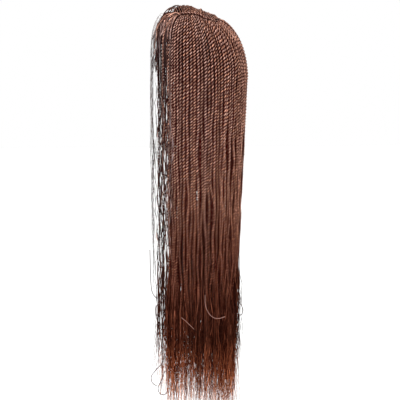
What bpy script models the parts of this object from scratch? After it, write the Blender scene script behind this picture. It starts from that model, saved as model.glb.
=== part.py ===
"""A long wig of fine two-strand twists with a side parting, as it hangs on a head.

Metres, +Z up. The face looks along -Y and the wearer's left is +X. The origin is the highest point inside
the cap, where the crown of the head touches it. Twists grow from the cap along a parting high on the left:
one field of them falls down the left side, one down the back, and the rest go up and over the top to the
right side and the forehead. Each field is cut into panels of a few locks, one object for each panel, whose
ribs are the twists and whose lower ends part into single tapering tips.
"""

import math
from collections import namedtuple

import bmesh
import bpy
import numpy as np
from mathutils import Vector

# The cap, from an average head of about 530 mm round at the hair line.
CAP_WALL = 0.0015
CAP_COLUMNS = 36
CAP_ROWS = 8
NAPE_NARROWING = 0.55
SEAT_CLEARANCE = 0.0004
REST_CLEARANCE = 0.0032

# The twists stand out as ribs, by less where their panel is thin or they crowd.
RIB_HEIGHT = 0.0024
RIB_DEPTH_SHARE = 0.40
RIB_SPACING_SHARE = 0.70
EDGE_SPACING_SHARE = 0.40
PANEL_GAP = 0.0010
PARTING_GAP = 0.0064
SEAM_GAP = 0.0024
SEAM_SPREAD = -0.0010

# Panels are as thick as the layers of twists in them.
ROOT_DEPTH = 0.036
STRAIGHT_ROOT = 0.25
DOME_DEPTH = 0.0100
CURTAIN_DEPTH = 0.013
OVER_TOP_DEPTH = 0.0140

# Heights where the curtain's sections lie, from the widest level down to where the locks part.
CURTAIN_LEVELS = (-0.30, -0.46, -0.62)
SHORTEST_TIP = -0.835
LONGEST_TIP = -0.921
TIP_WAIST_SHARE = 0.55
TIP_WAIST_SIZE = 0.62

# The curtain narrows on its way down, by this share of its half width and of its depth behind the ears.
SIDE_NARROWING = 0.10
BACK_NARROWING = 0.235
NARROWED_AT = -0.72

# How high the twists that go over the top stand above the rest, along the parting from front to back.
# Shares under 0 lie ahead of the parting, along the front hair line.
Lift = namedtuple("Lift", "share height")
LIFTS = (
    Lift(share=-0.30, height=0.011),
    Lift(share=-0.12, height=0.017),
    Lift(share=0.12, height=0.023),
    Lift(share=0.40, height=0.021),
    Lift(share=0.62, height=0.014),
    Lift(share=0.80, height=0.008),
    Lift(share=1.00, height=0.001),
)
LIFT_RISE = 0.28

# The plan half sizes of a dome, the heights of its top and its widest level, and how full its shoulders are.
Dome = namedtuple("Dome", "left right back front top widest side_power front_power")
CAP_INSIDE = Dome(
    left=0.0765,
    right=0.0765,
    back=0.0925,
    front=0.0950,
    top=0.0,
    widest=-0.093,
    side_power=2.0,
    front_power=3.4,
)
HAIR = Dome(
    left=0.094,
    right=0.100,
    back=0.111,
    front=0.119,
    top=0.012,
    widest=-0.140,
    side_power=2.1,
    front_power=4.5,
)

# How far below the crown the cap's edge lies, by the angle from the left ear towards the nape.
Rim = namedtuple("Rim", "angle depth")
RIMS = (
    Rim(angle=0, depth=0.094),
    Rim(angle=28, depth=0.112),
    Rim(angle=90, depth=0.146),
    Rim(angle=152, depth=0.112),
    Rim(angle=180, depth=0.094),
    Rim(angle=200, depth=0.104),
    Rim(angle=232, depth=0.060),
    Rim(angle=270, depth=0.034),
    Rim(angle=308, depth=0.064),
    Rim(angle=340, depth=0.104),
    Rim(angle=360, depth=0.094),
)

# The parting and the seam behind it, in plan. The seam runs on to where the right rear panel leaves the dome.
PARTING_FRONT = Vector((0.034, -0.062))
PARTING_BACK = Vector((0.047, 0.026))
SEAM_SHARE = 0.38
SEAM_HANG = 126

# Each panel: the line its twists grow from, the shares of that line, the angles where its edge twists leave
# the dome, how many twists it has, its sections over the dome and its depth there.
Panel = namedtuple(
    "Panel", "name line root_from root_to hang_from hang_to twists rows depth"
)
PANELS = (
    Panel("left_front_braids", "left", 0.00, 0.34, -50, -16, 8, 8, DOME_DEPTH),
    Panel("left_middle_braids", "left", 0.34, 0.67, -16, 18, 8, 8, DOME_DEPTH),
    Panel("left_rear_braids", "left", 0.67, 1.00, 18, 47, 7, 8, DOME_DEPTH),
    Panel("back_left_braids", "seam", 0.00, 0.50, 47, 87, 8, 8, DOME_DEPTH),
    Panel("back_right_braids", "seam", 0.50, 1.00, 87, SEAM_HANG, 8, 8, DOME_DEPTH),
    Panel("right_rear_braids", "right", 1.00, 0.72, SEAM_HANG, 158, 8, 9, OVER_TOP_DEPTH),
    Panel("right_middle_braids", "right", 0.72, 0.44, 158, 192, 8, 9, OVER_TOP_DEPTH),
    Panel("right_front_braids", "right", 0.44, 0.18, 192, 222, 7, 9, OVER_TOP_DEPTH),
    Panel("forehead_braids", "right", 0.18, -0.12, 222, 243, 6, 9, OVER_TOP_DEPTH),
)

# The band that the left field hangs from, seen as a pale line along the parting.
BAND_WIDTH = 0.0050
BAND_HEIGHT = 0.0060
BAND_PROUD = 0.0012
BAND_SECTIONS = 16
BAND_TAPER_FROM = 0.65
BAND_END_SHARE = 0.25

# Single twists that grow at the front of the cap and fall in front of the right cheek.
FaceTwist = namedtuple("FaceTwist", "root hang tip lean")
FACE_TWISTS = (
    FaceTwist(root=-0.163, hang=249, tip=-0.655, lean=0.002),
    FaceTwist(root=-0.219, hang=255, tip=-0.640, lean=0.004),
    FaceTwist(root=-0.275, hang=261, tip=-0.610, lean=0.007),
)
FACE_TWIST_RADIUS = 0.0022
FACE_TWIST_TOP_POINTS = 14
FACE_TWIST_FALL_POINTS = 8
FACE_TWIST_RISE = 0.005
FACE_TWIST_UP_BY = 0.6

# Colour, roughness and metallic value.
Finish = namedtuple("Finish", "name colour roughness metallic")
BRAID_FINISH = Finish("twisted_hair", (0.105, 0.040, 0.026), 0.45, 0.0)
BAND_FINISH = Finish("parting_band_hair", (0.20, 0.095, 0.075), 0.50, 0.0)
CAP_FINISH = Finish("cap_net", (0.030, 0.016, 0.013), 0.85, 0.0)


def smooth(share):
    """A share from 0 to 1 that starts and ends gently."""
    share = min(max(share, 0.0), 1.0)
    return share * share * (3 - 2 * share)


def read_table(rows, key, value, at):
    """The value of a table with named columns at a place between two of its rows."""
    for low, high in zip(rows, rows[1:]):
        start, end = getattr(low, key), getattr(high, key)
        if at <= end:
            share = smooth((at - start) / (end - start))
            return getattr(low, value) * (1 - share) + getattr(high, value) * share
    return getattr(rows[-1], value)


def grown(dome, by):
    """The dome that lies by metres outside this one."""
    return dome._replace(
        left=dome.left + by,
        right=dome.right + by,
        back=dome.back + by,
        front=dome.front + by,
        top=dome.top + by,
    )


def plan_half(dome, x, y):
    """The dome's half sizes along X and Y in this quarter of the plan."""
    return (
        dome.left if x > 0 else dome.right,
        dome.back if y > 0 else dome.front,
    )


def shoulder_power(dome, forward):
    """How full the dome is, from its sides and back to its front."""
    return dome.side_power + (dome.front_power - dome.side_power) * max(0.0, forward)


def dome_height(dome, x, y):
    """The height of the dome's surface over a point of the plan."""
    half_x, half_y = plan_half(dome, x, y)
    reach = min(math.hypot(x / half_x, y / half_y), 1.0)
    power = shoulder_power(dome, -y / half_y / max(reach, 1e-6))
    rise = (1 - reach**power) ** (1 / power)
    return dome.widest + (dome.top - dome.widest) * rise


def dome_normal(dome, x, y):
    """The outward direction of the dome's surface over a point of the plan."""
    step = 0.0005
    slope_x = dome_height(dome, x + step, y) - dome_height(dome, x - step, y)
    slope_y = dome_height(dome, x, y + step) - dome_height(dome, x, y - step)
    return Vector((-slope_x, -slope_y, 2 * step)).normalized()


def dome_reach(dome, angle, z):
    """The plan point where a level meets the dome, at an angle from +X towards +Y."""
    direction = Vector((math.cos(math.radians(angle)), math.sin(math.radians(angle))))
    half_x, half_y = plan_half(dome, *direction)
    if z < dome.widest:
        fall = (dome.widest - z) / (dome.top - dome.widest)
        scale = 1 - NAPE_NARROWING * fall * fall
    else:
        power = shoulder_power(dome, -direction.y)
        share = (z - dome.widest) / (dome.top - dome.widest)
        scale = (1 - share**power) ** (1 / power)
    return Vector((direction.x * half_x * scale, direction.y * half_y * scale))


def outside(dome, point):
    """Whether a point is clear of the dome, of the wall below its widest level and of the rim."""
    if point.z < -max(rim.depth for rim in RIMS) - REST_CLEARANCE:
        return True
    if point.z > dome.widest:
        return point.z > dome_height(dome, point.x, point.y)
    half_x, half_y = plan_half(dome, point.x, point.y)
    return math.hypot(point.x / half_x, point.y / half_y) > 1


def parting(share):
    """A point of the parting in plan, from its front end to its back end."""
    return PARTING_FRONT.lerp(PARTING_BACK, share)


def hang_point(angle, dome=HAIR):
    """Where a twist leaves the dome and starts to hang, in plan."""
    radians = math.radians(angle)
    half_x, half_y = plan_half(dome, math.cos(radians), math.sin(radians))
    return Vector((half_x * math.cos(radians), half_y * math.sin(radians)))


def root_point(line, share):
    """Where a twist grows: beside the parting, or along the seam behind it."""
    if line == "seam":
        seam = hang_point(SEAM_HANG) - PARTING_BACK
        rearward = Vector((seam.y, -seam.x)).normalized()
        off_seam = SEAM_GAP + SEAM_SPREAD * share
        return PARTING_BACK + seam * share * SEAM_SHARE + rearward * off_seam
    along = (PARTING_BACK - PARTING_FRONT).normalized()
    leftward = Vector((along.y, -along.x))
    side = PARTING_GAP / 2 if line == "left" else -PARTING_GAP / 2
    return parting(share) + leftward * side


def narrowed(plan, z):
    """Where a hanging twist is at a height, as the curtain narrows towards its tips."""
    share = (z - HAIR.widest) / (NARROWED_AT - HAIR.widest)
    behind = BACK_NARROWING if plan.y > 0 else 0.0
    return Vector(
        (plan.x * (1 - SIDE_NARROWING * share), plan.y * (1 - behind * share), z)
    )


def path_over_dome(start, end, dome, lift, rows):
    """Points of a path over a dome, which first rises to a height above it."""
    points = []
    for row in range(rows + 1):
        share = math.sin(math.pi / 2 * row / rows)
        plan = start.lerp(end, share)
        stand = math.sin(math.pi / 2 * min(share / LIFT_RISE, 1)) * (1 - share**4)
        height = dome_height(dome, plan.x, plan.y) + lift * stand
        points.append(Vector((plan.x, plan.y, height)))
    return points


def lane_over_dome(line, root_share, hang, rows):
    """Points of one lane from its root over the dome to where it hangs."""
    lift = read_table(LIFTS, "share", "height", root_share) if line == "right" else 0.0
    start, end = root_point(line, root_share), hang_point(hang)
    return path_over_dome(start, end, HAIR, lift, rows)


def lane_in_curtain(hang):
    """Points of one lane where it hangs, down to where the locks part."""
    return [narrowed(hang_point(hang), z) for z in CURTAIN_LEVELS]


def lanes_of(panel):
    """The panel's outer surface without ribs: a lane at each twist and between each two.

    One more lane beyond each edge is there for the normals.
    """
    count = 2 * panel.twists
    lanes = []
    for column in range(-1, count + 2):
        share = column / count
        root = panel.root_from + (panel.root_to - panel.root_from) * share
        hang = panel.hang_from + (panel.hang_to - panel.hang_from) * share
        lanes.append(
            lane_over_dome(panel.line, root, hang, panel.rows) + lane_in_curtain(hang)
        )
    return np.array(lanes)


def unit(vectors):
    """The same vectors at a length of one."""
    return vectors / np.linalg.norm(vectors, axis=-1, keepdims=True)


def inset_lanes(lanes):
    """The panel's own lanes, normals and lane spacing, with the gap to its neighbours left at its edges."""
    across = np.gradient(lanes, axis=0)
    along = np.gradient(lanes, axis=1)
    normals = unit(np.cross(along, across))[1:-1]
    normals[:, 0] = (0, 0, 1)
    normals[:, 1] = unit(normals[:, 1] + (0, 0, 0.5))
    aside = unit(np.cross(normals, along[1:-1]))
    spacing = np.sum(across[1:-1] * aside, axis=2, keepdims=True)
    inset = np.clip(EDGE_SPACING_SHARE * spacing, 0, PANEL_GAP / 2)
    own = lanes[1:-1].copy()
    own[0] += aside[0] * inset[0]
    own[-1] -= aside[-1] * inset[-1]
    return own, normals, spacing


def depth_to_cap(point, inward, most, clearance):
    """How deep a panel can go from a point before it comes this close to the cap."""
    cap = grown(CAP_INSIDE, CAP_WALL + clearance)
    steps = 400
    for step in range(1, steps + 1):
        if not outside(cap, point + inward * most * step / steps):
            return most * (step - 1) / steps
    return most


def inner_points(panel, lanes, normals):
    """The panel's inner surface. At the roots it goes straight down to the cap."""
    inner = np.empty_like(lanes)
    for column in range(lanes.shape[0]):
        for row in range(lanes.shape[1]):
            point = Vector(lanes[column, row])
            near_root = 1 - smooth((row / panel.rows - STRAIGHT_ROOT) / STRAIGHT_ROOT)
            at_root = 1 - smooth(row / panel.rows / STRAIGHT_ROOT)
            hanging = smooth((row - panel.rows + 2) / 2)
            inward = -Vector(normals[column, row])
            inward = inward.lerp(Vector((0, 0, -1)), near_root).normalized()
            most = panel.depth + (ROOT_DEPTH - panel.depth) * at_root
            most += (CURTAIN_DEPTH - panel.depth) * hanging
            clearance = REST_CLEARANCE if row else SEAT_CLEARANCE
            depth = depth_to_cap(point, inward, most, clearance)
            inner[column, row] = point + inward * depth
    return inner


def tip_height(panel_index, twist):
    """Each lock ends at its own height, which repeats every run."""
    wander = math.sin(12.9898 * (panel_index + 1) + 78.233 * (twist + 1)) * 43758.5453
    return SHORTEST_TIP + (LONGEST_TIP - SHORTEST_TIP) * (wander - math.floor(wander))


def add_tip(mesh, ring, tip_z):
    """Closes one lock's section with a waist and a point."""
    centre = sum((v.co for v in ring), Vector()) / len(ring)
    last = CURTAIN_LEVELS[-1]
    waist_z = last + (tip_z - last) * TIP_WAIST_SHARE
    drift = narrowed(centre.xy, tip_z) - narrowed(centre.xy, last)
    waist = []
    for vert in ring:
        place = centre.lerp(vert.co, TIP_WAIST_SIZE) + drift * TIP_WAIST_SHARE
        place.z = waist_z
        waist.append(mesh.verts.new(place))
    point = mesh.verts.new(Vector((centre.x + drift.x, centre.y + drift.y, tip_z)))
    for i, vert in enumerate(ring):
        after = (i + 1) % len(ring)
        mesh.faces.new((vert, ring[after], waist[after], waist[i]))
        mesh.faces.new((waist[i], waist[after], point))


def add_panel(panel_index, panel, material, collection):
    """One panel: a ribbed sheet of twists over the dome and down the curtain, with single tips."""
    lanes, normals, spacing = inset_lanes(lanes_of(panel))
    inner = inner_points(panel, lanes, normals)
    columns, rows = lanes.shape[:2]
    depth = np.linalg.norm(inner - lanes, axis=2, keepdims=True)
    groove = np.minimum(RIB_HEIGHT, RIB_DEPTH_SHARE * depth)
    groove = np.clip(RIB_SPACING_SHARE * spacing, 0, groove)
    groove[1::2] = 0
    outer = lanes - normals * groove
    inner[1::2, panel.rows :] -= normals[1::2, panel.rows :] * RIB_HEIGHT

    mesh = bmesh.new()
    out = [[mesh.verts.new(point) for point in column] for column in outer]
    back = [[mesh.verts.new(point) for point in column] for column in inner]
    for column in range(columns - 1):
        for row in range(rows - 1):
            right, below = column + 1, row + 1
            mesh.faces.new(
                (out[column][row], out[column][below], out[right][below], out[right][row])
            )
            mesh.faces.new(
                (back[column][row], back[right][row], back[right][below], back[column][below])
            )
        mesh.faces.new(
            (out[column][0], out[column + 1][0], back[column + 1][0], back[column][0])
        )
    for row in range(rows - 1):
        mesh.faces.new(
            (out[0][row], back[0][row], back[0][row + 1], out[0][row + 1])
        )
        mesh.faces.new(
            (out[-1][row], out[-1][row + 1], back[-1][row + 1], back[-1][row])
        )
    for twist in range(panel.twists):
        section = range(2 * twist, 2 * twist + 3)
        ring = [out[i][-1] for i in section] + [back[i][-1] for i in reversed(section)]
        add_tip(mesh, ring, tip_height(panel_index, twist))
    finish_mesh(mesh, panel.name, material, collection)


def finish_mesh(mesh, name, material, collection):
    """Turns a bmesh into an object of the collection, with a closed one's faces pointing out."""
    if all(edge.is_manifold for edge in mesh.edges):
        bmesh.ops.recalc_face_normals(mesh, faces=mesh.faces)
        if mesh.calc_volume(signed=True) < 0:
            bmesh.ops.reverse_faces(mesh, faces=mesh.faces)
    data = bpy.data.meshes.new(name)
    mesh.to_mesh(data)
    mesh.free()
    data.materials.append(material)
    data.shade_smooth()
    data.set_sharp_from_angle(angle=math.radians(50))
    obj = bpy.data.objects.new(name, data)
    collection.objects.link(obj)
    return obj


def add_cap(material, collection):
    """The cap: an open dome of net, made a thin wall by Solidify."""
    mesh = bmesh.new()
    crown = mesh.verts.new((0, 0, CAP_INSIDE.top))
    rings = []
    for row in range(1, CAP_ROWS + 1):
        ring = []
        for column in range(CAP_COLUMNS):
            angle = 360 * column / CAP_COLUMNS
            depth = read_table(RIMS, "angle", "depth", angle)
            level = -depth * (row / CAP_ROWS) ** 1.6
            plan = dome_reach(CAP_INSIDE, angle, level)
            ring.append(mesh.verts.new((plan.x, plan.y, level)))
        rings.append(ring)
    for column in range(CAP_COLUMNS):
        after = (column + 1) % CAP_COLUMNS
        mesh.faces.new((crown, rings[0][column], rings[0][after]))
        for upper, lower in zip(rings, rings[1:]):
            mesh.faces.new((upper[column], lower[column], lower[after], upper[after]))
    cap = finish_mesh(mesh, "cap", material, collection)
    wall = cap.modifiers.new("Wall", "SOLIDIFY")
    wall.thickness = CAP_WALL
    wall.offset = 1.0
    return cap


def add_parting_band(material, collection):
    """The band along the parting, between the left field and the one that goes over the top."""
    along = (PARTING_BACK - PARTING_FRONT).normalized()
    leftward = Vector((along.y, -along.x))
    mesh = bmesh.new()
    rings = []
    for section in range(BAND_SECTIONS + 1):
        share = section / BAND_SECTIONS
        middle = parting(share)
        taper = smooth((share - BAND_TAPER_FROM) / (1 - BAND_TAPER_FROM))
        width = BAND_WIDTH * (1 - (1 - BAND_END_SHARE) * taper)
        height = dome_height(HAIR, middle.x, middle.y) + BAND_PROUD
        ring = []
        for side, drop in ((-0.5, 0.2), (-0.25, 0), (0.25, 0), (0.5, 0.2), (0.5, 1), (-0.5, 1)):
            plan = middle + leftward * side * width
            ring.append(mesh.verts.new((plan.x, plan.y, height - drop * BAND_HEIGHT)))
        rings.append(ring)
    for before, after in zip(rings, rings[1:]):
        for i in range(len(before)):
            j = (i + 1) % len(before)
            mesh.faces.new((before[i], before[j], after[j], after[i]))
    mesh.faces.new(rings[0])
    mesh.faces.new(rings[-1])
    return finish_mesh(mesh, "parting_band", material, collection)


def add_face_twist(index, twist, material, collection):
    """A single twist that rises from the cap's front edge and falls over the right cheek."""
    dome = grown(HAIR, FACE_TWIST_RISE)
    start, end = root_point("right", twist.root), hang_point(twist.hang, dome)
    lift = read_table(LIFTS, "share", "height", twist.root) - FACE_TWIST_RISE
    points = path_over_dome(start, end, dome, lift, FACE_TWIST_TOP_POINTS)
    foot = dome_height(CAP_INSIDE, *start)
    stand = CAP_WALL + SEAT_CLEARANCE + FACE_TWIST_RADIUS
    seat = Vector((*start, foot)) + dome_normal(CAP_INSIDE, *start) * stand
    for point in points:
        share = (point.xy - start).length / (end - start).length
        up = smooth(share / FACE_TWIST_UP_BY)
        point.z = seat.z * (1 - up) + point.z * up
    points[0] = seat
    for step in range(1, FACE_TWIST_FALL_POINTS + 1):
        share = step / FACE_TWIST_FALL_POINTS
        z = dome.widest + (twist.tip - dome.widest) * share
        points.append(Vector((end.x, end.y + twist.lean * share * share, z)))
    curve = bpy.data.curves.new(f"face_braid_{index + 1}", "CURVE")
    curve.dimensions = "3D"
    curve.bevel_depth = FACE_TWIST_RADIUS
    curve.bevel_resolution = 1
    curve.use_fill_caps = True
    spline = curve.splines.new("POLY")
    spline.points.add(len(points) - 1)
    for slot, place in zip(spline.points, points):
        slot.co = (*place, 1)
    curve.materials.append(material)
    obj = bpy.data.objects.new(curve.name, curve)
    collection.objects.link(obj)


def make_material(finish):
    """A Principled BSDF with the finish's values."""
    material = bpy.data.materials.new(finish.name)
    material.use_nodes = True
    shader = material.node_tree.nodes["Principled BSDF"]
    shader.inputs["Base Color"].default_value = (*finish.colour, 1)
    shader.inputs["Roughness"].default_value = finish.roughness
    shader.inputs["Metallic"].default_value = finish.metallic
    return material


def main():
    for obj in list(bpy.data.objects):
        bpy.data.objects.remove(obj)
    collection = bpy.data.collections.new("braid_wig")
    bpy.context.scene.collection.children.link(collection)
    braid = make_material(BRAID_FINISH)
    add_cap(make_material(CAP_FINISH), collection)
    add_parting_band(make_material(BAND_FINISH), collection)
    for index, panel in enumerate(PANELS):
        add_panel(index, panel, braid, collection)
    for index, twist in enumerate(FACE_TWISTS):
        add_face_twist(index, twist, braid, collection)


main()
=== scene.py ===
"""Looks of the braid wig: its twists as ropes of laid strands with frayed ends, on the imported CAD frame.

Metres, +Z up. The face looks along -Y and the wearer's left is +X. The origin is the crown inside the cap.
The twists follow the same lanes as the ribs of the CAD panels, so the dome and curtain sizes below repeat
those of the part.
"""

import math
from collections import namedtuple

import bpy
import numpy as np
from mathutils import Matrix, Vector


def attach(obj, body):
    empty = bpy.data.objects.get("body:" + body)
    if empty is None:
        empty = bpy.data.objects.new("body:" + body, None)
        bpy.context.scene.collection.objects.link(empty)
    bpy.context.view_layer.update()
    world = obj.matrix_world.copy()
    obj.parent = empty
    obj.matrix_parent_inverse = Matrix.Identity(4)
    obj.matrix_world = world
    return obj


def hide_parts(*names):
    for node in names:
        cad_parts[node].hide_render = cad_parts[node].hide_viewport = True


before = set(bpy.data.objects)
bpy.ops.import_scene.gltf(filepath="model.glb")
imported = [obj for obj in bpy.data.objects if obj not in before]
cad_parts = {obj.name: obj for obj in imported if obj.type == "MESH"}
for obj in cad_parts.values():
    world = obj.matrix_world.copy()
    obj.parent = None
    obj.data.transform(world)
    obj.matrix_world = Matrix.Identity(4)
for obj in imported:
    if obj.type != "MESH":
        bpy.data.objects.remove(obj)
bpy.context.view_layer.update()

SEED = 20
rng = np.random.default_rng(SEED)

# The hair's dome and curtain, as in the part.
Dome = namedtuple("Dome", "left right back front top widest side_power front_power")
HAIR = Dome(0.094, 0.100, 0.111, 0.119, 0.012, -0.140, 2.1, 4.5)
FACE_DOME = Dome(0.099, 0.105, 0.116, 0.124, 0.017, -0.140, 2.1, 4.5)
CAP = Dome(0.078, 0.078, 0.094, 0.0965, 0.0015, -0.093, 2.0, 3.4)
SIDE_NARROWING = 0.10
BACK_NARROWING = 0.235
NARROWED_AT = -0.72

# How high the twists that go over the top stand above the rest, by their share of the parting.
LIFT_SHARES = (-0.30, -0.12, 0.12, 0.40, 0.62, 0.80, 1.00)
LIFT_HEIGHTS = (0.011, 0.016, 0.021, 0.018, 0.009, 0.002, -0.004)
LIFT_RISE = 0.28

# The parting, the seam that goes on behind it, and the band along it, made pale by a painted highlight.
PARTING_FRONT = np.array((0.034, -0.062))
PARTING_BACK = np.array((0.047, 0.026))
PARTING_GAP = 0.0042
SEAM_SHARE = 0.38
SEAM_HANG = 126
SEAM_GAP = 0.0024
SEAM_SPREAD = -0.0010
BAND_RADIUS = 0.0030
BAND_RAISED = 0.0022
BAND_POINTS = 60
BAND_ENDS = (0.005, 0.995)
BAND_THINS_FROM = 0.65
BAND_THINS_BY = 0.35
BAND_THINS_TO = 0.45

# The panels: the line their twists grow from and their shares of it, the angles where they start to hang,
# of which 0 is left and 90 is back, how many twists, how thick, and if there is a layer under them.
Panel = namedtuple("Panel", "node line root_from root_to hang_from hang_to twists size under")
PANELS = (
    Panel("left_front_braids", "left", 0.00, 0.34, -50, -16, 8, 1.0, True),
    Panel("left_middle_braids", "left", 0.34, 0.67, -16, 18, 8, 1.0, True),
    Panel("left_rear_braids", "left", 0.67, 1.00, 18, 47, 7, 1.0, True),
    Panel("back_left_braids", "seam", 0.00, 0.50, 47, 87, 8, 1.0, True),
    Panel("back_right_braids", "seam", 0.50, 1.00, 87, SEAM_HANG, 8, 1.0, True),
    Panel("right_rear_braids", "right", 1.00, 0.72, SEAM_HANG, 158, 8, 1.0, True),
    Panel("right_middle_braids", "right", 0.72, 0.44, 158, 192, 8, 1.0, True),
    Panel("right_front_braids", "right", 0.44, 0.18, 192, 222, 7, 0.92, True),
    Panel("forehead_braids", "right", 0.18, -0.12, 222, 243, 5, 0.40, False),
)

# The single twists in front of the right cheek, and the fine locks beside them.
FaceTwist = namedtuple("FaceTwist", "node root hang tip lean radius")
FACE_TWISTS = (
    FaceTwist("face_braid_1", -0.163, 249, -0.655, 0.002, 0.0018),
    FaceTwist("face_braid_2", -0.219, 255, -0.640, 0.004, 0.0015),
    FaceTwist("face_braid_3", -0.275, 261, -0.610, 0.007, 0.0012),
)
FACE_UP_BY = 0.6
FACE_LOCKS = 2
FACE_LOCK_TIPS = (-0.05, 0.30)
FACE_LOCK_HANGS = (-5, 3)
FACE_LOCK_RADII = (0.0003, 0.0006)
# How much painted highlight the locks beside the face get.
FACE_LOCK_LIGHT = 0.7
FACE_DRIFT = 0.0012
FACE_LOCK_DRIFT = 0.0025
FACE_THINS_FROM = -0.45
FACE_THINS_BY = 0.20
FACE_THINS_TO = 0.5
FACE_ABOVE_CAP = 0.002
FACE_GROWS_FROM = 0.4
FACE_ROOT_SHARES = (0.2, 0.8)
FACE_LOCK_ROOT_SHARES = (0.3, 0.7)

# One twist: strands laid round each other. A strand's middle stands off the twist's by a share of its
# radius. The strand's section is given by angles, of which 90 faces outward, by reaches as shares of the
# radius, and by how much painted light it gets there: the outward side a painted highlight, the rest
# painted shade.
Rope = namedtuple("Rope", "radius depth strands offset sections angles reach light")
OUTER_ROPE = Rope(
    radius=0.0042,
    depth=1.02,
    strands=2,
    offset=0.50,
    sections=7,
    angles=(90, 0, 270, 180),
    reach=(0.50, 0.50, 0.46, 0.50),
    light=(1.0, 0.06, 0.0, 0.06),
)
# The layer under the outer twists gets little painted light: it is kept in painted shade.
INNER_ROPE = Rope(
    radius=0.0050,
    depth=2.45,
    strands=1,
    offset=0.30,
    sections=3,
    angles=(90, 0, 270, 180),
    reach=(0.75, 0.90, 0.75, 0.90),
    light=(0.14, 0.02, 0.06, 0.02),
)
# The face twists' strands get flatter painted light, with less painted shade at their sides.
FACE_ROPE = OUTER_ROPE._replace(offset=0.80, reach=(0.22, 0.20, 0.20, 0.20), light=(0.5, 0.3, 0.2, 0.3))

# The length of one turn at heights. Beside the face turns are longer and cut into more sections. A rope's
# strip of the map is wider than a lock's.
PITCH_HEIGHTS = (-0.70, -0.50, -0.40, -0.25, -0.10, 0.04)
PITCHES = (0.0126, 0.0128, 0.0134, 0.0146, 0.0158, 0.0165)
FACE_PITCH_SHARE = 4.0
FACE_SECTIONS_SHARE = 0.4
ROPE_STRIP_WIDTH = 3

# Where round its turn a strand faces out enough to get painted light, and how sharp that painted highlight
# is;
# where it turns aside it is left in painted shade.
FACES_OUT_FROM = 0.10
FACES_OUT_BY = 1.0
CREST_SHARPNESS = 1.6

# How a panel's twists differ from their lanes, and how finely their paths are cut.
ROOT_SPACING_SHARE = 0.58
HEIGHT_VARIES = 0.0022
HEIGHT_SHARES = (-0.6, 1)
DRIFT_ASIDE = 0.0016
DRIFT_INWARD = 0.0022
DOME_ROWS = 44
FALL_ROWS = 44
SIZE_VARIES = (0.84, 1.08)
TURNS_VARY = (0.92, 1.10)
ROOT_SUNK = 0.005

# The middle that a point of a path faces away from lies on the Z axis, this far below the point.
MIDDLE_BELOW = 0.05

# The slow drift of what hangs: its waves' lengths and sizes, and how far down it is at its full strength.
DRIFT_LENGTHS = (0.62, 0.27, 0.13)
DRIFT_SIZES = (0.4, 1.0)
DRIFT_FULL_BY = 0.40

# Stretches of stronger and weaker painted highlight, as painted glints: how many waves, how long they are,
# the least and the most they give, and how strong they are in a rope and in a lock.
PATCH_WAVES = 5
PATCH_LENGTHS = (0.010, 0.070)
PATCH_LIMITS = (0.12, 1.9)
ROPE_GLINT_PATCHES = 0.12
LOCK_PATCHES = 0.25

# How uneven a rope is along its turns: its radius, the turns themselves, and its painted highlight from
# point to point.
# The phases are where such a wave may start.
BULGE = 0.10
BULGE_RATES = (0.5, 0.9)
TURN_DRIFT = 0.8
TURN_DRIFT_RATES = (0.3, 0.7)
POINT_LIGHTS = (0.55, 1.45)
PHASES = (0, 6)

# How much one rope or lock differs in colour from the next.
ROPE_COLOUR_VARIES = 0.28
LOCK_COLOUR_VARIES = 0.35
RED_VARIES = (-0.10, 0.14)

# Where a rope thins and ends, and how much sooner it ends near the curtain's front and back edges.
THINS_FROM = -0.45
THINS_BY = 0.30
THINS_TO = 0.80
ENDS_FROM = -0.600
ENDS_BY = 0.130
ENDS_TO = 0.15
EDGE_FROM = 0.074
EDGE_BY = 0.040
EDGE_ENDS_SOONER = 0.080
EDGE_LOCKS_SHARE = 0.42
EDGE_SPREADS_MORE = 1.2
END_VARIES = (-0.02, 0.05)

# Some twists cross their neighbours: how many, how much further they drift and how far they stand off.
CROSSING_SHARE = 0.12
CROSSING_DRIFT = 3.2
CROSSING_STAND = 0.0022
CROSSING_FULL_BY = 0.2

# Loose hair at a twist's end: how many locks, where they start, how thick they are, how far they stand off
# where they start and how far they spread, and how much painted highlight they get; the locks under the
# outer layer get less, as painted shade.
Loose = namedtuple("Loose", "number start_from start_to thin thick aside spread light")
OUTER_LOOSE = Loose(17, -0.540, -0.690, 0.0004, 0.0009, 0.0030, 0.0095, 0.50)
INNER_LOOSE = Loose(15, -0.390, -0.620, 0.0006, 0.0011, 0.0026, 0.0075, 0.30)
LOOSE_SHORTEST = -0.790
LOOSE_LONGEST = -0.954
LOOSE_SECTIONS = 17
LOOSE_WIDEST = 0.018
LOOSE_TIP_SHAPE = (0.8, 1.0)
LOOSE_THINS_BY = 0.75
LOOSE_RIPPLES = (0.0004, 0.0036)
LOOSE_WAVES = (0.030, 0.100)
LOOSE_WAVE_RATIO = 1.13
LOOSE_RIPPLE_RISE = 1.2
LOOSE_ASIDE_RISE = 4
LOOSE_SPREAD_POWER = 1.5

# A lock's painted highlight: drawn so that most are dark and a few are much lighter.
LOCK_LIGHT_PEAK = 4.0
LOCK_LIGHT_SHAPE = (0.5, 2.0)

# Twists and locks that sweep from the front of the parting over the forehead and down beside the face.
SWEEP_TWISTS = 2
SWEEP_LOCKS = 20
SWEEP_ROOTS = (-0.26, 0.12)
SWEEP_HANGS = (224, 247)
SWEEP_LIFT = 0.017
SWEEP_LIFT_SHARES = (0.45, 1.05)
SWEEP_LIFTED_BY = 0.8
SWEEP_SUNK = 0.004
SWEEP_TIPS = (-0.80, -0.12)

# Thin twists and locks that hang in front of the left cheek.
FRINGE_TWISTS = 4
FRINGE_LOCKS = 26
FRINGE_ROOTS = (-0.10, 0.06)
FRINGE_HANGS = (-60, -46)
FRINGE_TIPS = (-0.74, -0.20)
FRINGE_LIFTS = (-0.002, 0.003)

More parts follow.
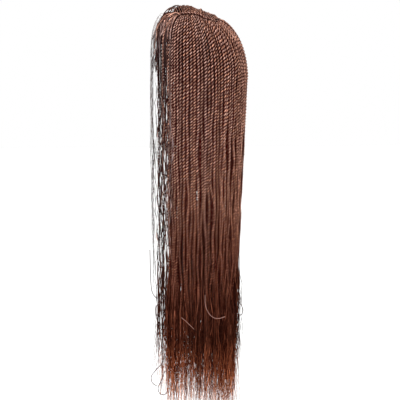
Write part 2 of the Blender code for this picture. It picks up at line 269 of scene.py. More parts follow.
# Short locks that hang over the forehead from the front of the parting.
WISP_LOCKS = 60
WISP_ROOTS = (-0.30, 0.10)
WISP_HANGS = (-116, -56)
WISP_REACH = (0.80, 0.97)
WISP_TIPS = (-0.15, -0.02)
WISP_LIFTS = (0.000, 0.008)
WISP_FORWARD = 0.006
WISP_SHORTEST = 0.01
WISP_ROWS = 16

# What the sweep and the fringe share, and the locks of the wisps too.
FINE_REACH = (0.95, 1.0)
FINE_DRIFT = (0.0020, 0.0030)
FINE_TWIST_RADII = (0.0014, 0.0022)
FINE_THINS_FROM = -0.20
FINE_THINS_BY = 0.3
FINE_THINS_TO = 0.5
FINE_LOCK_RADII = (0.0004, 0.0010)
# How much painted highlight the fine locks get.
FINE_LOCK_LIGHT = 0.55
FINE_RIPPLE = 0.0010
RIPPLE_FROM = 0.16
RIPPLE_BY = 0.20
RIPPLE_LENGTHS = (0.02, 0.09)
RIPPLE_WAVES = 3

# Strands that have come away: how far left they lie, and the places they pass, as back and up.
Stray = namedtuple("Stray", "node x radius passes")
STRAY_POINTS = 8
STRAY_COLOUR = (0.40, 0.22, 0.185)
STRAY_AT_EDGE = (0.10, 0.07, 0.07)
STRAYS = (
    Stray("left_middle_braids", 0.090, 0.0007,
          ((-0.004, -0.655), (-0.003, -0.680), (0.005, -0.699), (0.017, -0.710), (0.030, -0.712),
           (0.044, -0.708))),
    Stray("left_front_braids", 0.090, 0.0006,
          ((-0.061, -0.708), (-0.050, -0.717), (-0.040, -0.727), (-0.030, -0.737))),
    Stray("back_left_braids", 0.010, 0.0011,
          ((0.078, -0.672), (0.092, -0.690), (0.099, -0.706), (0.094, -0.718), (0.083, -0.717))),
    Stray("back_left_braids", 0.010, 0.0011,
          ((0.066, -0.850), (0.075, -0.880), (0.079, -0.892), (0.072, -0.904), (0.052, -0.925))),
    Stray("forehead_braids", -0.010, 0.0011,
          ((-0.088, -0.800), (-0.094, -0.832), (-0.112, -0.853), (-0.123, -0.869), (-0.121, -0.884),
           (-0.110, -0.893))),
    Stray("forehead_braids", 0.015, 0.0011,
          ((-0.092, -0.850), (-0.102, -0.876), (-0.109, -0.891), (-0.105, -0.906), (-0.093, -0.909),
           (-0.086, -0.900))),
    Stray("face_braid_3", -0.030, 0.0011,
          ((-0.124, -0.560), (-0.123, -0.610), (-0.122, -0.640), (-0.119, -0.663), (-0.111, -0.677),
           (-0.102, -0.680))),
    Stray("forehead_braids", 0.000, 0.0011,
          ((-0.094, -0.670), (-0.101, -0.684), (-0.111, -0.694), (-0.113, -0.709), (-0.110, -0.724))),
)


def smooth(share):
    """A share from 0 to 1 that starts and ends gently."""
    share = np.clip(share, 0.0, 1.0)
    return share * share * (3 - 2 * share)


def unit(vectors):
    """The same vectors at a length of one."""
    length = np.linalg.norm(vectors, axis=-1, keepdims=True)
    return vectors / np.maximum(length, 1e-12)


def plan_half(dome, plan):
    """The dome's half sizes along X and Y in the quarters where the points lie."""
    return (
        np.where(plan[..., 0] > 0, dome.left, dome.right),
        np.where(plan[..., 1] > 0, dome.back, dome.front),
    )


def dome_height(dome, plan):
    """The height of the dome's surface over points of the plan."""
    half_x, half_y = plan_half(dome, plan)
    reach = np.clip(np.hypot(plan[..., 0] / half_x, plan[..., 1] / half_y), 1e-6, 1.0)
    forward = np.clip(-plan[..., 1] / half_y / reach, 0.0, None)
    power = dome.side_power + (dome.front_power - dome.side_power) * forward
    rise = (1 - reach**power) ** (1 / power)
    return dome.widest + (dome.top - dome.widest) * rise


def hang_point(angle, dome=HAIR):
    """Where a twist leaves the dome and starts to hang, in plan."""
    direction = np.array((math.cos(math.radians(angle)), math.sin(math.radians(angle))))
    half_x, half_y = plan_half(dome, direction)
    return direction * (float(half_x), float(half_y))


def root_point(line, share):
    """Where a twist grows: beside the parting, or along the seam behind it."""
    if line == "seam":
        seam = hang_point(SEAM_HANG) - PARTING_BACK
        rearward = unit(np.array((seam[1], -seam[0])))
        off_seam = SEAM_GAP + SEAM_SPREAD * share
        return PARTING_BACK + seam * share * SEAM_SHARE + rearward * off_seam
    along = unit(PARTING_BACK - PARTING_FRONT)
    leftward = np.array((along[1], -along[0]))
    side = PARTING_GAP / 2 if line == "left" else -PARTING_GAP / 2
    return PARTING_FRONT + (PARTING_BACK - PARTING_FRONT) * share + leftward * side


def path_over_dome(start, end, dome, lift, rows=DOME_ROWS):
    """Points of a path over a dome, which first rises to a height above it."""
    share = np.sin(math.pi / 2 * np.arange(rows + 1) / rows)
    plan = start + (end - start) * share[:, None]
    stand = np.sin(math.pi / 2 * np.minimum(share / LIFT_RISE, 1)) * (1 - share**4)
    return np.column_stack((plan, dome_height(dome, plan) + lift * stand))


def fall_from(plan, rows=FALL_ROWS, bottom=LOOSE_LONGEST):
    """Points of a hanging path, as the curtain narrows towards its tips."""
    z = np.linspace(HAIR.widest, bottom, rows + 1)[1:]
    share = (z - HAIR.widest) / (NARROWED_AT - HAIR.widest)
    behind = BACK_NARROWING if plan[1] > 0 else 0.0
    x = plan[0] * (1 - SIDE_NARROWING * share)
    y = plan[1] * (1 - behind * share)
    return np.column_stack((x, y, z))


def lane(line, root_share, hang):
    """One lane from its root over the dome and down the curtain."""
    lift = np.interp(root_share, LIFT_SHARES, LIFT_HEIGHTS) if line == "right" else 0.0
    start, end = root_point(line, root_share), hang_point(hang)
    return np.concatenate((path_over_dome(start, end, HAIR, lift), fall_from(end)))


def panel_grid(panel):
    """The panel's lanes, at each twist and between each two, with their normals and spacings."""
    count = 2 * panel.twists
    lanes = []
    for column in range(-1, count + 2):
        share = column / count
        root = panel.root_from + (panel.root_to - panel.root_from) * share
        hang = panel.hang_from + (panel.hang_to - panel.hang_from) * share
        lanes.append(lane(panel.line, root, hang))
    lanes = np.array(lanes)
    across = np.gradient(lanes, axis=0)
    along = np.gradient(lanes, axis=1)
    normals = unit(np.cross(along, across))
    spacing = 2 * np.linalg.norm(across, axis=2)
    return lanes[1:-1], normals[1:-1], spacing[1:-1], unit(across[1:-1])


def wander(z, strength):
    """A slow sideways drift along a hanging path, with a random start for each call."""
    phases = rng.uniform(0, 2 * math.pi, 3)
    sizes = rng.uniform(*DRIFT_SIZES, 3)
    waves = sum(
        size * np.sin(z * 2 * math.pi / length + phase)
        for size, length, phase in zip(sizes, DRIFT_LENGTHS, phases)
    )
    return waves * strength * smooth(-z / DRIFT_FULL_BY)


def turns_along(path):
    """How many turns a twist has made at each point of its path."""
    gaps = np.linalg.norm(np.diff(path, axis=0), axis=1)
    pitch = np.interp((path[1:, 2] + path[:-1, 2]) / 2, PITCH_HEIGHTS, PITCHES)
    return np.concatenate(([0], np.cumsum(gaps / pitch)))


def patchy(z, strength):
    """Stretches along a twist where its painted highlight is stronger or weaker, other ones for each call;
    they also vary a fine lock's thickness.
    """
    lengths = rng.uniform(*PATCH_LENGTHS, PATCH_WAVES)
    starts = rng.uniform(0, 2 * math.pi, PATCH_WAVES)
    waves = sum(np.sin(z * 2 * math.pi / length + start) for length, start in zip(lengths, starts))
    return np.clip(1 + strength * waves, *PATCH_LIMITS)


def frames_of(points):
    """Two directions across a path at each of its points: along the hair's surface and out of it."""
    along = unit(np.gradient(points, axis=0))
    centre = np.column_stack((np.zeros(len(points)), np.zeros(len(points)), points[:, 2] - MIDDLE_BELOW))
    outward = points - centre
    side = unit(np.cross(along, outward))
    return side, unit(np.cross(side, along))


class Tubes:
    """Collects tubes and makes them one mesh, with a strip of the map for each."""

    STRIP_FILL = 0.92
    STRIP_MARGIN = 0.002

    def __init__(self):
        self.points, self.colours, self.quads, self.strips, self.count = [], [], [], [], 0

    def add(self, rings, colours, width=1):
        """Adds a tube from its rings of points, with a colour for each point and its strip's width."""
        sections, sides = rings.shape[:2]
        index = np.arange(sections * sides).reshape(sections, sides) + self.count
        after = np.roll(index, -1, axis=1)
        quads = np.stack((index[:-1], after[:-1], after[1:], index[1:]), axis=-1)
        self.points.append(rings.reshape(-1, 3))
        self.colours.append(colours.reshape(-1, 3))
        self.quads.append(quads.reshape(-1, 4))
        self.strips.append((sections, sides, width))
        self.count += sections * sides

    def map_corners(self):
        """The map's place for each corner of each quad: a strip beside the last one for each tube."""
        total = sum(width for _, _, width in self.strips)
        start, corners = 0, []
        for sections, sides, width in self.strips:
            u = (start + self.STRIP_FILL * width * np.arange(sides + 1) / sides) / total
            v = np.linspace(self.STRIP_MARGIN, 1 - self.STRIP_MARGIN, sections)
            u_low, v_low = np.meshgrid(u[:-1], v[:-1])
            u_high, v_high = np.meshgrid(u[1:], v[1:])
            quad = ((u_low, v_low), (u_high, v_low), (u_high, v_high), (u_low, v_high))
            corners.append(np.stack([np.stack(pair, -1) for pair in quad], axis=2).reshape(-1, 2))
            start += width
        return np.concatenate(corners)

    def make(self, name, material):
        """The mesh object, with its map and its hair colours, which hold painted highlights and shade."""
        points, quads = np.concatenate(self.points), np.concatenate(self.quads)
        mesh = bpy.data.meshes.new(name)
        mesh.vertices.add(len(points))
        mesh.vertices.foreach_set("co", points.astype(np.float32).ravel())
        mesh.loops.add(quads.size)
        mesh.loops.foreach_set("vertex_index", quads.astype(np.int32).ravel())
        mesh.polygons.add(len(quads))
        mesh.polygons.foreach_set("loop_start", np.arange(0, quads.size, 4, dtype=np.int32))
        mesh.update(calc_edges=True)
        uv_map = mesh.uv_layers.new(name="OFBake")
        uv_map.uv.foreach_set("vector", self.map_corners().astype(np.float32).ravel())
        layer = mesh.color_attributes.new("hair_colour_and_painted_light", "FLOAT_COLOR", "POINT")
        colours = np.column_stack((np.concatenate(self.colours), np.ones(len(points))))
        layer.data.foreach_set("color", colours.astype(np.float32).ravel())
        mesh.shade_smooth()
        mesh.materials.append(material)
        obj = bpy.data.objects.new(name, mesh)
        bpy.context.scene.collection.objects.link(obj)
        return obj


# Hair colours, as linear values, at heights from the parting to the tips: a painted highlight on crests and
# painted shade in grooves. The crests are darker at the very top of the crown. The darker band low down is
# partly darker hair and partly painted shade, and the bright orange at the tips is painted light that
# shines through the thin ends.
Tone = namedtuple("Tone", "z crest groove")
TONES = (
    Tone(0.036, (0.210, 0.122, 0.098), (0.014, 0.001, 0.001)),
    Tone(0.008, (0.520, 0.285, 0.218), (0.030, 0.002, 0.001)),
    Tone(-0.300, (0.580, 0.310, 0.232), (0.036, 0.002, 0.001)),
    Tone(-0.430, (0.560, 0.272, 0.186), (0.034, 0.002, 0.001)),
    Tone(-0.540, (0.320, 0.128, 0.080), (0.024, 0.002, 0.001)),
    Tone(-0.660, (0.190, 0.062, 0.036), (0.018, 0.001, 0.000)),
    Tone(-0.770, (0.160, 0.044, 0.022), (0.015, 0.001, 0.000)),
    Tone(-0.840, (0.520, 0.150, 0.065), (0.036, 0.003, 0.001)),
    Tone(-0.940, (0.950, 0.450, 0.250), (0.130, 0.020, 0.008)),
)
# Beside the face the hanging hair is tinted darker and greyer: a painted washed-out look of thin strands in
# strong light.
FACE_TINT = (0.40, 0.50, 0.62)
FACE_TINT_FROM = 0.03
FACE_TINT_BY = 0.10
# The rope along the parting is lightened as a painted highlight.
BAND_HIGHLIGHT_TINT = (1.25, 1.30, 1.35)


def tone_at(z, light):
    """The hair's colour at heights, from the painted shade of grooves to the painted highlight of crests by
    how much painted light a point gets.
    """
    heights = [-tone.z for tone in TONES]

    def column(name, part):
        return np.interp(-z, heights, [getattr(tone, name)[part] for tone in TONES])

    crest = np.stack([column("crest", part) for part in range(3)], axis=-1)
    groove = np.stack([column("groove", part) for part in range(3)], axis=-1)
    return groove[:, None] + (crest - groove)[:, None] * np.atleast_2d(light)[..., None]


def rippled(path, size):
    """The path with small bends where it hangs."""
    z = path[:, 2]
    share = smooth((HAIR.widest + RIPPLE_FROM - z) / RIPPLE_BY)
    bends = [
        sum(
            np.sin(z * 2 * math.pi / rng.uniform(*RIPPLE_LENGTHS) + rng.uniform(*PHASES))
            for _ in range(RIPPLE_WAVES)
        )
        for _ in range(2)
    ]
    return path + np.column_stack((bends[0], bends[1], np.zeros(len(z)))) * (size * share)[:, None]


def varied(colour, amount):
    """The colour of one twist or lock, a little lighter, darker or redder than the rest."""
    brightness = 1 + rng.uniform(-amount, amount)
    red = 1 + rng.uniform(*RED_VARIES)
    return colour * brightness * np.array((red, 1, 2 - red))


def add_rope(tubes, path, radius, rope, tint=(1, 1, 1), pitch_share=1.0):
    """One twist along a path, here a little tighter, there looser."""
    turns = turns_along(path) / pitch_share * rng.uniform(*TURNS_VARY)
    at = np.arange(0, turns[-1], 1 / rope.sections * (1 if pitch_share == 1 else FACE_SECTIONS_SHARE))
    points = np.column_stack([np.interp(at, turns, path[:, i]) for i in range(3)])
    bulges = np.sin(at * rng.uniform(*BULGE_RATES) + rng.uniform(*PHASES))
    radii = np.interp(at, turns, radius) * (1 + BULGE * bulges)
    side, up = frames_of(points)
    drift = TURN_DRIFT * np.sin(at * rng.uniform(*TURN_DRIFT_RATES) + rng.uniform(0, 2 * math.pi))
    turn = -(2 * math.pi * at + drift + rng.uniform(0, 2 * math.pi))
    for strand in range(rope.strands):
        around = turn + 2 * math.pi * strand / rope.strands
        middle = points + (rope.offset * radii)[:, None] * (
            side * np.cos(around)[:, None] + up * np.sin(around)[:, None]
        )
        angle = np.radians(rope.angles)[None, :]
        reach = radii[:, None] * np.array(rope.reach)[None, :]
        rings = middle[:, None] + (
            side[:, None] * (np.cos(angle) * reach)[..., None]
            + up[:, None] * (np.sin(angle) * reach)[..., None]
        )
        # Painted light on each strand: stretches of painted glints, a random painted sparkle from point to
        # point, and painted shade where the strand turns away from facing out, as between neighbouring
        # ropes.
        light = np.array(rope.light)[None, :] * patchy(points[:, 2], ROPE_GLINT_PATCHES)[:, None]
        outward = smooth((np.sin(around) + FACES_OUT_FROM) / FACES_OUT_BY) ** CREST_SHARPNESS
        light = light * rng.uniform(*POINT_LIGHTS, light.shape) * outward[:, None]
        colours = varied(tone_at(points[:, 2], light), ROPE_COLOUR_VARIES) * tint
        tubes.add(rings, colours, width=ROPE_STRIP_WIDTH)


def lock_rings(path, radius):
    """The three points round each point of a thin lock's path."""
    side, up = frames_of(path)
    angle = np.radians((90, 210, 330))
    return path[:, None] + radius[:, None, None] * (
        side[:, None] * np.cos(angle)[None, :, None] + up[:, None] * np.sin(angle)[None, :, None]
    )


def add_lock(tubes, path, radius, light, tint=(1, 1, 1)):
    """A thin three-sided lock of loose hair along a path, with painted highlights: mostly dark, a few much
    lighter.
    """
    peak = light * LOCK_LIGHT_PEAK * rng.beta(*LOCK_LIGHT_SHAPE)
    lights = peak * patchy(path[:, 2], LOCK_PATCHES)[:, None] * np.ones(3)
    tubes.add(lock_rings(path, radius), varied(tone_at(path[:, 2], lights), LOCK_COLOUR_VARIES) * tint)


def loose_path(path, loose, tip_z):
    """A path for loose hair, which leaves a twist and spreads in waves to its tip."""
    start_z = rng.uniform(loose.start_to, loose.start_from)
    z = np.linspace(start_z, tip_z, LOOSE_SECTIONS + 1)
    share = (z - start_z) / (tip_z - start_z)
    x = np.interp(-z, -path[:, 2], path[:, 0])
    y = np.interp(-z, -path[:, 2], path[:, 1])
    heading = rng.uniform(0, 2 * math.pi)
    spread = min(abs(rng.normal(0, loose.spread)), LOOSE_WIDEST)
    leaving = rng.uniform(0, loose.aside) * smooth(share * LOOSE_ASIDE_RISE)
    aside = leaving + spread * share**LOOSE_SPREAD_POWER
    ripple = rng.uniform(*LOOSE_RIPPLES) * smooth(share * LOOSE_RIPPLE_RISE)
    wave = rng.uniform(*LOOSE_WAVES)
    phase_x, phase_y = rng.uniform(0, 2 * math.pi, 2)
    x = x + aside * math.cos(heading) + ripple * np.sin(z * 2 * math.pi / wave + phase_x)
    y = y + aside * math.sin(heading) + ripple * np.sin(z * 2 * math.pi / wave * LOOSE_WAVE_RATIO + phase_y)
    return np.column_stack((x, y, z))


def edge_share(path):
    """How near a twist hangs to the front or back edge of the curtain, from 0 to 1."""
    return float(smooth((abs(path[DOME_ROWS, 1]) - EDGE_FROM) / EDGE_BY))


def add_loose(tubes, path, loose, edge):
    """The loose hair of one twist, sparser and wilder near an edge."""
    for _ in range(round(loose.number * (1 - (1 - EDGE_LOCKS_SHARE) * edge))):
        tip_z = LOOSE_LONGEST + (LOOSE_SHORTEST - LOOSE_LONGEST) * rng.beta(*LOOSE_TIP_SHAPE)
        lock = loose_path(path, loose._replace(spread=loose.spread * (1 + EDGE_SPREADS_MORE * edge)), tip_z)
        share = np.linspace(0, 1, len(lock))
        thick = rng.uniform(loose.thin, loose.thick)
        add_lock(tubes, lock, thick * (1 - LOOSE_THINS_BY * share**2), loose.light)


def rope_radius(path, spacing, full, edge):
    """A twist's radius along its path: thin where the roots crowd, and thinning towards its end."""
    crowded = np.minimum(full, ROOT_SPACING_SHARE * spacing)
    thinning = 1 - (1 - THINS_TO) * smooth((THINS_FROM - path[:, 2]) / THINS_BY)
    ends_from = ENDS_FROM + EDGE_ENDS_SOONER * edge
    ending = 1 - (1 - ENDS_TO) * smooth((ends_from - path[:, 2]) / ENDS_BY)
    return crowded * thinning * ending


def add_twist(tubes, lane_points, normals, spacing, across, rope, loose, size):
    """One twist of a panel: its rope, a little off its lane, and its loose end."""
    edge = edge_share(lane_points)
    full = rope.radius * size * rng.uniform(*SIZE_VARIES)
    radius = rope_radius(lane_points, spacing, full, edge)
    z = lane_points[:, 2]
    crosses = rng.random() < CROSSING_SHARE and size == 1.0 and rope is OUTER_ROPE
    aside = wander(z, DRIFT_ASIDE * (CROSSING_DRIFT if crosses else 1))
    sunk = rng.uniform(*HEIGHT_SHARES) * HEIGHT_VARIES
    inward = radius * rope.depth + sunk + np.abs(wander(z, DRIFT_INWARD))
    inward -= CROSSING_STAND * smooth(-z / CROSSING_FULL_BY) if crosses else 0
    path = lane_points - normals * inward[:, None] + across * aside[:, None]
    path = np.concatenate((path[:1] - (0, 0, ROOT_SUNK), path))
    radius = np.concatenate((radius[:1], radius))
    ends_at = ENDS_FROM - ENDS_BY + EDGE_ENDS_SOONER * edge + rng.uniform(*END_VARIES)
    kept = path[:, 2] > ends_at
    add_rope(tubes, path[kept], radius[kept], rope)
    add_loose(tubes, path, loose, edge)


def rounded(points, at):
    """Places along a round curve through points, which is at the first where the value is 0."""
    index = np.clip(at.astype(int), 0, len(points) - 2)
    share = (at - index)[:, None]
    ends = np.concatenate((2 * points[:1] - points[1:2], points, 2 * points[-1:] - points[-2:-1]))
    before, start, end, after = (ends[index + step] for step in range(4))
    return 0.5 * (
        2 * start
        + (end - before) * share
        + (2 * before - 5 * start + 4 * end - after) * share**2
        + (3 * start - before - 3 * end + after) * share**3
    )


def add_strays(tubes, node):
    """The strands that have come away from a node's hair."""
    for stray in STRAYS:
        if stray.node == node:
            passes = np.array(stray.passes)
            at = np.linspace(0, len(passes) - 1, STRAY_POINTS * len(passes))
            places = rounded(passes, at)
            path = np.column_stack((np.full(len(at), stray.x), places))
            rings = lock_rings(path, np.full(len(at), stray.radius))
            colour = STRAY_COLOUR if stray.x > HAIR.left / 2 else STRAY_AT_EDGE
            tubes.add(rings, np.broadcast_to(colour, rings.shape))


def finish_piece(tubes, name, material, node):
    """Makes the piece, which moves with the root and takes the place of its node."""
    piece = tubes.make(name, material)
    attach(piece, "root")
    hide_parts(node)


def make_panel(panel, material):
    """One panel of twists: an outer layer on the lanes, and mostly one under it between them."""
    lanes, normals, spacing, across = panel_grid(panel)
    tubes = Tubes()
    for column in range(2 * panel.twists + 1):
        of_lane = lanes[column], normals[column], spacing[column], across[column]
        if column % 2:
            add_twist(tubes, *of_lane, OUTER_ROPE, OUTER_LOOSE, panel.size)
        elif panel.under:
            add_twist(tubes, *of_lane, INNER_ROPE, INNER_LOOSE, 1.0)
    if panel.node == "forehead_braids":
        add_fine(tubes, sweep_path, SWEEP_TWISTS, SWEEP_LOCKS)
    if panel.node == "left_front_braids":
        add_fine(tubes, fringe_path, FRINGE_TWISTS, FRINGE_LOCKS)
        add_fine(tubes, wisp_path, 0, WISP_LOCKS)
    add_strays(tubes, panel.node)
    finish_piece(tubes, panel.node.replace("braids", "twists"), material, panel.node)


def fall_to(end, tip, lean=0.0):
    """Points that hang from an end of a path over the dome."""
    z = np.linspace(HAIR.widest, tip, FALL_ROWS + 1)[1:]
    share = (z - HAIR.widest) / (tip - HAIR.widest)
    return np.column_stack((np.full(len(z), end[0]), end[1] + lean * share**2, z))


def face_path(start, hang, lift, tip, lean):
    """A path from the front edge of the cap, up over its right side and down beside the face."""
    end = hang_point(hang, FACE_DOME)
    top = path_over_dome(start, end, FACE_DOME, lift - (FACE_DOME.top - HAIR.top))
    seat = dome_height(CAP, start) + FACE_ABOVE_CAP
    share = np.linalg.norm(top[:, :2] - start, axis=1) / np.linalg.norm(end - start)
    up = smooth(share / FACE_UP_BY)
    top[:, 2] = seat * (1 - up) + top[:, 2] * up
    return np.concatenate((top, fall_to(end, tip, lean)))


def drifted(fall):
    """The hanging points of a fine path, with a slow drift to the sides and to the front."""
    fall[:, :2] += np.column_stack([wander(fall[:, 2], strength) for strength in FINE_DRIFT])
    return fall


def sweep_path():
    """A path from the front of the parting across the forehead, up to the corner and down."""
    start = root_point("left", rng.uniform(*SWEEP_ROOTS))
    end = hang_point(rng.uniform(*SWEEP_HANGS)) * rng.uniform(*FINE_REACH)
    share = np.sin(math.pi / 2 * np.arange(DOME_ROWS + 1) / DOME_ROWS)
    plan = start + (end - start) * share[:, None]
    lift = SWEEP_LIFT * rng.uniform(*SWEEP_LIFT_SHARES) * smooth(share / SWEEP_LIFTED_BY) * (1 - share**5)
    top = np.column_stack((plan, dome_height(HAIR, plan) + lift - SWEEP_SUNK * (1 - share)))
    return np.concatenate((top, drifted(fall_to(end, rng.uniform(*SWEEP_TIPS)))))


def fringe_path():
    """A path from the front of the parting, over the left temple and down in front of the left cheek."""
    end = hang_point(rng.uniform(*FRINGE_HANGS)) * rng.uniform(*FINE_REACH)
    start = root_point("left", rng.uniform(*FRINGE_ROOTS))
    top = path_over_dome(start, end, HAIR, rng.uniform(*FRINGE_LIFTS))
    return np.concatenate((top, drifted(fall_to(end, rng.uniform(*FRINGE_TIPS)))))


def wisp_path():
    """A path from the front of the parting to the forehead, where it hangs a little way."""
    start = root_point("left", rng.uniform(*WISP_ROOTS))
    end = hang_point(rng.uniform(*WISP_HANGS)) * rng.uniform(*WISP_REACH)
    top = path_over_dome(start, end, HAIR, rng.uniform(*WISP_LIFTS), WISP_ROWS)
    share = np.linspace(0, 1, WISP_ROWS + 1)[1:, None]
    tip_z = min(rng.uniform(*WISP_TIPS), top[-1, 2] - WISP_SHORTEST)
    tip = np.array((end[0], end[1] - WISP_FORWARD, tip_z))
    return np.concatenate((top, top[-1] + (tip - top[-1]) * share))


def face_tint(path):
    """The tint of hair beside the face: as the rest over the top, and greyer where it hangs, a painted
    washed-out look of thin strands in strong light.
    """
    share = smooth((FACE_TINT_FROM - path[:, 2]) / FACE_TINT_BY)[:, None, None]
    return 1 + (np.array(FACE_TINT) - 1) * share


def add_fine(tubes, make_path, twists, locks):
    """Thin twists and fine locks on paths of one kind."""
    for _ in range(twists):
        path = make_path()
        thinning = 1 - (1 - FINE_THINS_TO) * smooth((FINE_THINS_FROM - path[:, 2]) / FINE_THINS_BY)
        add_rope(tubes, path, rng.uniform(*FINE_TWIST_RADII) * thinning, OUTER_ROPE)
    for _ in range(locks):
        path = rippled(make_path(), FINE_RIPPLE)
        radius = rng.uniform(*FINE_LOCK_RADII) * patchy(path[:, 2], LOCK_PATCHES)
        add_lock(tubes, path, radius, FINE_LOCK_LIGHT, face_tint(path))


def make_face_twist(twist, material):
    """A single loose twist in front of the right cheek, with a few thin locks beside it."""
    tubes = Tubes()
    start = root_point("right", twist.root)
    lift = np.interp(twist.root, LIFT_SHARES, LIFT_HEIGHTS)
    path = face_path(start, twist.hang, lift, twist.tip, twist.lean)
    path[:, 1] += wander(path[:, 2], FACE_DRIFT)
    thinning = 1 - (1 - FACE_THINS_TO) * smooth((FACE_THINS_FROM - path[:, 2]) / FACE_THINS_BY)
    radius = twist.radius * thinning
    least, rest = FACE_ROOT_SHARES
    radius *= least + rest * smooth(np.arange(len(path)) / DOME_ROWS - FACE_GROWS_FROM)
    add_rope(tubes, path, radius, FACE_ROPE, FACE_TINT, FACE_PITCH_SHARE)
    for _ in range(FACE_LOCKS):
        tip = twist.tip + rng.uniform(*FACE_LOCK_TIPS)
        lock = face_path(start, twist.hang + rng.uniform(*FACE_LOCK_HANGS), lift, tip, twist.lean)[::2]
        lock[:, 1] += wander(lock[:, 2], FACE_LOCK_DRIFT)
        least, rest = FACE_LOCK_ROOT_SHARES
        growing = least + rest * smooth(np.arange(len(lock)) / DOME_ROWS * 2 - FACE_GROWS_FROM)
        add_lock(tubes, lock, rng.uniform(*FACE_LOCK_RADII) * growing, FACE_LOCK_LIGHT, face_tint(lock))
    add_strays(tubes, twist.node)
    finish_piece(tubes, twist.node.replace("braid", "twist"), material, twist.node)


def make_band(material):
    """The rope along the parting, made pale by a painted highlight."""
    share = np.linspace(*BAND_ENDS, BAND_POINTS)
    plan = PARTING_FRONT + (PARTING_BACK - PARTING_FRONT) * share[:, None]
    path = np.column_stack((plan, dome_height(HAIR, plan) + BAND_RAISED))
    radius = BAND_RADIUS * (1 - (1 - BAND_THINS_TO) * smooth((share - BAND_THINS_FROM) / BAND_THINS_BY))
    tubes = Tubes()
    add_rope(tubes, path, radius, OUTER_ROPE, BAND_HIGHLIGHT_TINT)
    finish_piece(tubes, "parting_rope", material, "parting_band")


def new_material(name):
    """A new material with its tree and its shader."""
    material = bpy.data.materials.new(name)
    material.use_nodes = True
    tree = material.node_tree
    return material, tree, tree.nodes["Principled BSDF"]


def hair_material():
    """Fibre hair: the colour of the mesh with its painted highlights and shade, streaked along the strands,
    with a soft gloss.
    """
    material, tree, shader = new_material("fibre_hair")
    colour = tree.nodes.new("ShaderNodeAttribute")
    colour.attribute_name = "hair_colour_and_painted_light"
    place = tree.nodes.new("ShaderNodeTexCoord")
    stretch = tree.nodes.new("ShaderNodeMapping")
    stretch.inputs["Scale"].default_value = (1400, 1400, 160)
    streaks = tree.nodes.new("ShaderNodeTexNoise")
    streaks.inputs["Scale"].default_value = 1.0
    streaks.inputs["Detail"].default_value = 3.0
    tree.links.new(place.outputs["Object"], stretch.inputs["Vector"])
    tree.links.new(stretch.outputs["Vector"], streaks.inputs["Vector"])
    shade = tree.nodes.new("ShaderNodeMapRange")
    shade.inputs["To Min"].default_value = 0.62
    shade.inputs["To Max"].default_value = 1.38
    tree.links.new(streaks.outputs["Fac"], shade.inputs["Value"])
    mix = tree.nodes.new("ShaderNodeMix")
    mix.data_type = "RGBA"
    mix.blend_type = "MULTIPLY"
    mix.inputs["Factor"].default_value = 1.0
    tree.links.new(colour.outputs["Color"], mix.inputs["A"])
    tree.links.new(shade.outputs["Result"], mix.inputs["B"])
    tree.links.new(mix.outputs["Result"], shader.inputs["Base Color"])
    bump = tree.nodes.new("ShaderNodeBump")
    bump.inputs["Strength"].default_value = 0.35
    bump.inputs["Distance"].default_value = 0.0004
    tree.links.new(streaks.outputs["Fac"], bump.inputs["Height"])
    tree.links.new(bump.outputs["Normal"], shader.inputs["Normal"])
    shader.inputs["Roughness"].default_value = 0.50
    shader.inputs["Specular IOR Level"].default_value = 0.04
    return material


def net_material():
    """The cap's dark net: crossed threads with darker holes between them."""
    material, tree, shader = new_material("cap_net_weave")
    place = tree.nodes.new("ShaderNodeTexCoord")
    holes = tree.nodes.new("ShaderNodeTexVoronoi")
    holes.inputs["Scale"].default_value = 650
    ramp = tree.nodes.new("ShaderNodeValToRGB")
    ramp.color_ramp.elements[0].color = (0.010, 0.006, 0.005, 1)
    ramp.color_ramp.elements[1].color = (0.070, 0.038, 0.030, 1)
    ramp.color_ramp.elements[0].position = 0.25
    ramp.color_ramp.elements[1].position = 0.60
    tree.links.new(place.outputs["Object"], holes.inputs["Vector"])
    tree.links.new(holes.outputs["Distance"], ramp.inputs["Fac"])
    tree.links.new(ramp.outputs["Color"], shader.inputs["Base Color"])
    bump = tree.nodes.new("ShaderNodeBump")
    bump.inputs["Strength"].default_value = 0.5
    bump.inputs["Distance"].default_value = 0.0005
    tree.links.new(holes.outputs["Distance"], bump.inputs["Height"])
    tree.links.new(bump.outputs["Normal"], shader.inputs["Normal"])
    shader.inputs["Roughness"].default_value = 0.85
    return material


# The camera, at the photograph's angle.
AZIMUTH, ELEVATION = 83.0, 5.0
CAMERA_DISTANCE = 3.6
CAMERA_LENS = 134.0
AIM = Vector((0.0, -0.005, -0.437))
FLOOR_Z = -1.10


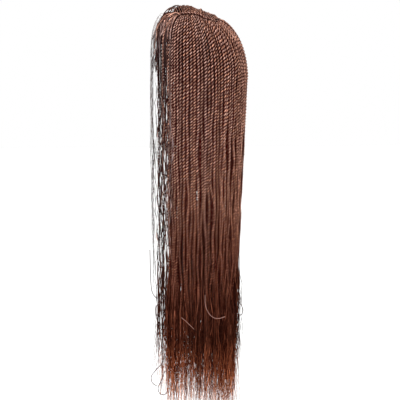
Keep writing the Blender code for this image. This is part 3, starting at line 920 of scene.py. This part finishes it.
def add_camera():
    """The camera, which looks at the middle of the hair from a little above."""
    azimuth, elevation = math.radians(AZIMUTH), math.radians(ELEVATION)
    level = math.cos(elevation)
    back = Vector((math.sin(azimuth) * level, -math.cos(azimuth) * level, math.sin(elevation)))
    data = bpy.data.cameras.new("camera")
    data.lens = CAMERA_LENS
    data.clip_end = 50
    camera = bpy.data.objects.new("camera", data)
    camera.location = AIM + back * CAMERA_DISTANCE
    camera.rotation_euler = (-back).to_track_quat("-Z", "Y").to_euler()
    bpy.context.scene.collection.objects.link(camera)
    bpy.context.scene.camera = camera


def add_light(name, kind, place, softness, power):
    """A soft light that faces the middle of the hair: a square one by its side, a sun by its angle."""
    data = bpy.data.lights.new(name, kind)
    if kind == "AREA":
        data.size = softness
    else:
        data.angle = math.radians(softness)
    data.energy = power
    light = bpy.data.objects.new(name, data)
    light.location = place
    light.rotation_euler = (AIM - Vector(place)).to_track_quat("-Z", "Y").to_euler()
    bpy.context.scene.collection.objects.link(light)


def add_studio():
    """A pale floor, a white surround and soft lights."""
    bpy.ops.mesh.primitive_plane_add(size=30, location=(0, 0, FLOOR_Z))
    floor = bpy.context.object
    floor.name = "floor"
    material, _, shader = new_material("floor_pale")
    shader.inputs["Base Color"].default_value = (0.97, 0.97, 0.97, 1)
    shader.inputs["Roughness"].default_value = 0.9
    floor.data.materials.append(material)
    world = bpy.data.worlds.new("studio")
    world.use_nodes = True
    world.node_tree.nodes["Background"].inputs["Color"].default_value = (1, 1, 1, 1)
    world.node_tree.nodes["Background"].inputs["Strength"].default_value = 1.0
    bpy.context.scene.world = world
    bpy.context.scene.view_settings.view_transform = "Standard"
    add_light("key", "AREA", (2.4, -1.4, 2.2), 0.9, 110)
    add_light("sky", "SUN", (0.2, 0.1, 3.0), 60, 0.5)


def main():
    """Builds the whole scene; the pieces' order is that of the random draws."""
    add_camera()
    add_studio()
    hair = hair_material()
    for panel in PANELS:
        make_panel(panel, hair)
    for twist in FACE_TWISTS:
        make_face_twist(twist, hair)
    make_band(hair)
    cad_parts["cap"].data.materials.clear()
    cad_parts["cap"].data.materials.append(net_material())


main()
